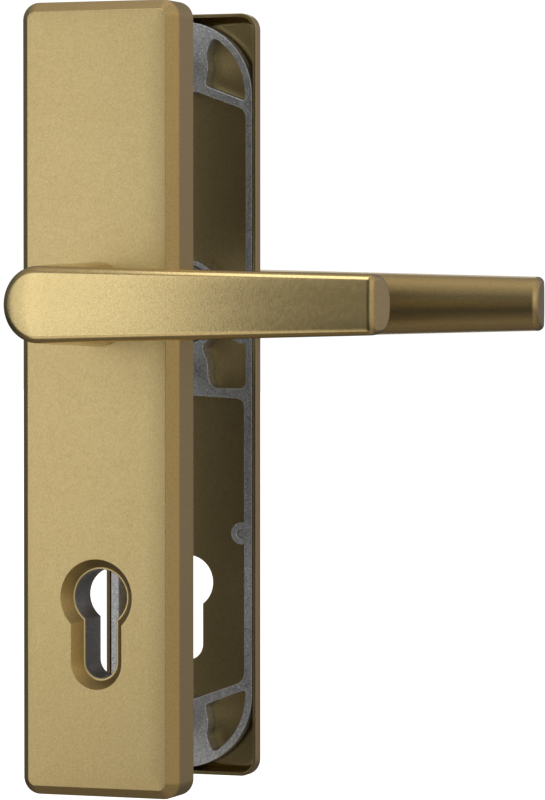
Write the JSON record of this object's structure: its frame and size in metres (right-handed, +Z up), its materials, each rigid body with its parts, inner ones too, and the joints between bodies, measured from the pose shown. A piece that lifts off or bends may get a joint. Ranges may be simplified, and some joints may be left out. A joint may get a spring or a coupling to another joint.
{
  "type": "security lever handle set with long plates for a euro cylinder",
  "caption": "Pair of long door plates with coupled, spring-returned lever handles and bevelled euro-profile cylinder cut-outs, armour plate and through fixings.",
  "frame": {"origin": "spindle axis at the outer plate's door face", "axes": "+X along the levers, +Y from the outer plate through the door to the inner plate, +Z up"},
  "size_m": [0.1357, 0.1787, 0.25],
  "materials": {
    "bronze_aluminium": "satin bronze anodised",
    "zinc": "raw die cast",
    "armour_steel": "dark hardened steel",
    "plated_steel": "zinc plated",
    "spring_steel": "oiled spring wire",
    "bush_polymer": "moulded"
  },
  "bodies": {
    "plates": {"outer_cover": "bronze_aluminium", "outer_armour_plate": "armour_steel", "outer_threaded_posts": "plated_steel", "outer_cover_screws": "plated_steel", "outer_bearing_bush": "bush_polymer", "outer_thrust_washer": "plated_steel", "outer_stop_pin": "plated_steel", "inner_cover": "bronze_aluminium", "inner_base_frame": "zinc", "frame_rivets": "zinc", "inner_bearing_bush": "bush_polymer", "inner_thrust_washer": "plated_steel", "spring_anchor_pin": "plated_steel", "fixing_bolts": "plated_steel"},
    "lever_set": {"outer_lever": "bronze_aluminium", "inner_lever": "bronze_aluminium", "spindle": "plated_steel", "spindle_cross_pin": "plated_steel", "lever_grub_screw": "armour_steel", "outer_retaining_ring": "plated_steel", "inner_retaining_ring": "plated_steel", "outer_drive_disc": "plated_steel", "inner_drive_disc": "armour_steel", "outer_return_spring": "spring_steel", "inner_return_spring": "spring_steel"}
  },
  "joints": [
    {"name": "lever_turn", "type": "hinge", "parent": "plates", "child": "lever_set", "pos_m": [0, 0, 0], "axis": [0, 1, 0], "range_deg": [0, 40], "stiffness_Nm_per_rad": 0.6, "springref_deg": -34.38, "deforming": ["outer_return_spring", "inner_return_spring"]}
  ]
}
